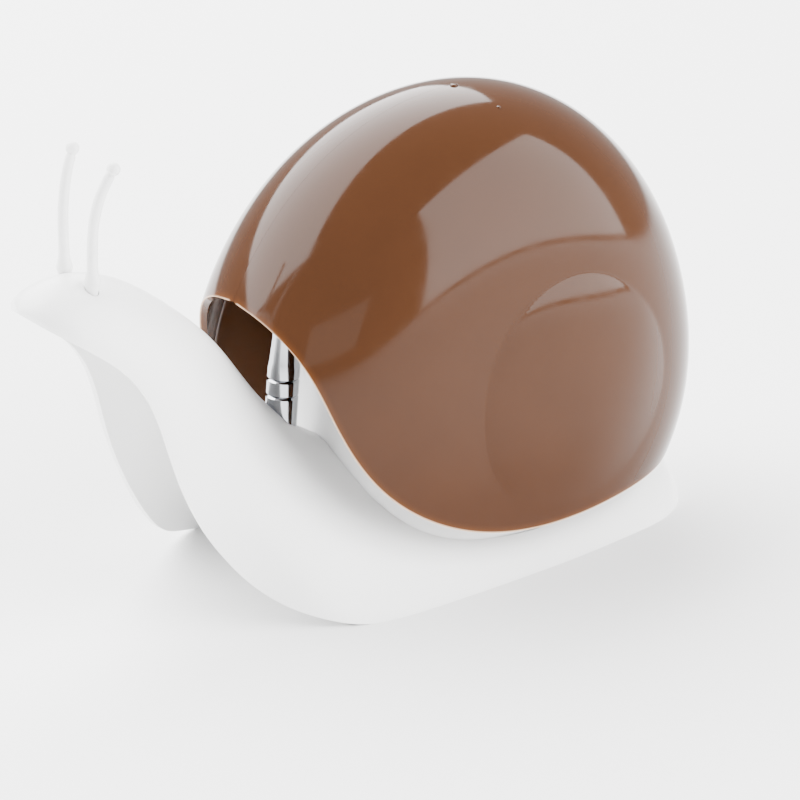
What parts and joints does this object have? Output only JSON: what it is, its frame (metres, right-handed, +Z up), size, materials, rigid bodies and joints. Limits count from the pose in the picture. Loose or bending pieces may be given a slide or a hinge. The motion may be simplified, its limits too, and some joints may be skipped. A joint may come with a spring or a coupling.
{
  "type": "soap dispenser",
  "caption": "Snail-shaped press-type liquid soap dispenser: glossy two-part shell cover over a pump and reservoir, thin-walled white body with two feelers, chrome nozzle into the neck.",
  "frame": {"origin": "centre of the footprint's bounding box on the table", "axes": "+Z up, the head points to -X, the tail to +X, the animal's left side is -Y"},
  "size_m": [0.175, 0.072, 0.1099],
  "materials": {
    "white_body": "smooth satin-gloss white moulding",
    "white_feeler": "soft white plastic",
    "brown_shell": "high-gloss brown moulding",
    "brown_inner": "plain brown moulding",
    "chrome_spout": "bright chrome plating",
    "steel": "plain stainless steel",
    "grey_rubber": "soft translucent grey rubber",
    "milky_plastic": "milky translucent plastic",
    "white_plastic": "plain white plastic"
  },
  "bodies": {
    "base": {"base_plate": "white_plastic", "base_screw_1": "steel", "base_screw_2": "steel", "base_screw_3": "steel", "base_screw_4": "steel", "body": "white_body", "collar": "white_plastic", "dip_tube": "milky_plastic", "feeler_left": "white_feeler", "feeler_right": "white_feeler", "foot_pad_1": "grey_rubber", "foot_pad_2": "grey_rubber", "foot_pad_3": "grey_rubber", "foot_pad_4": "grey_rubber", "gasket": "grey_rubber", "gland_seal": "grey_rubber", "neck_gland": "white_plastic", "pump_cylinder": "white_plastic", "pump_guide": "white_plastic", "reservoir_bottle": "milky_plastic", "return_spring": "steel", "soap_hose": "milky_plastic"},
    "press": {"actuator_head": "chrome_spout", "bridge_screw_1": "steel", "bridge_screw_2": "steel", "bridge_screw_3": "steel", "bridge_screw_4": "steel", "delivery_nozzle": "chrome_spout", "inner_bridge": "brown_inner", "piston": "white_plastic", "shell_left": "brown_shell", "shell_right": "brown_shell", "stem": "white_plastic"},
    "inlet_valve": {"inlet_ball": "steel"},
    "outlet_valve": {"outlet_ball": "steel"}
  },
  "joints": [
    {"name": "shell_press", "type": "slide", "parent": "base", "child": "press", "axis": [0, 0, 1], "range_m": [-0.007, 0], "stiffness_N_per_m": 400, "springref_m": 0.005, "deforming": ["return_spring"]},
    {"name": "inlet_valve_lift", "type": "slide", "parent": "base", "child": "inlet_valve", "axis": [0, 0, 1], "range_m": [0, 0.0008]},
    {"name": "outlet_valve_lift", "type": "slide", "parent": "press", "child": "outlet_valve", "axis": [0, 0, 1], "range_m": [0, 0.0008]}
  ]
}
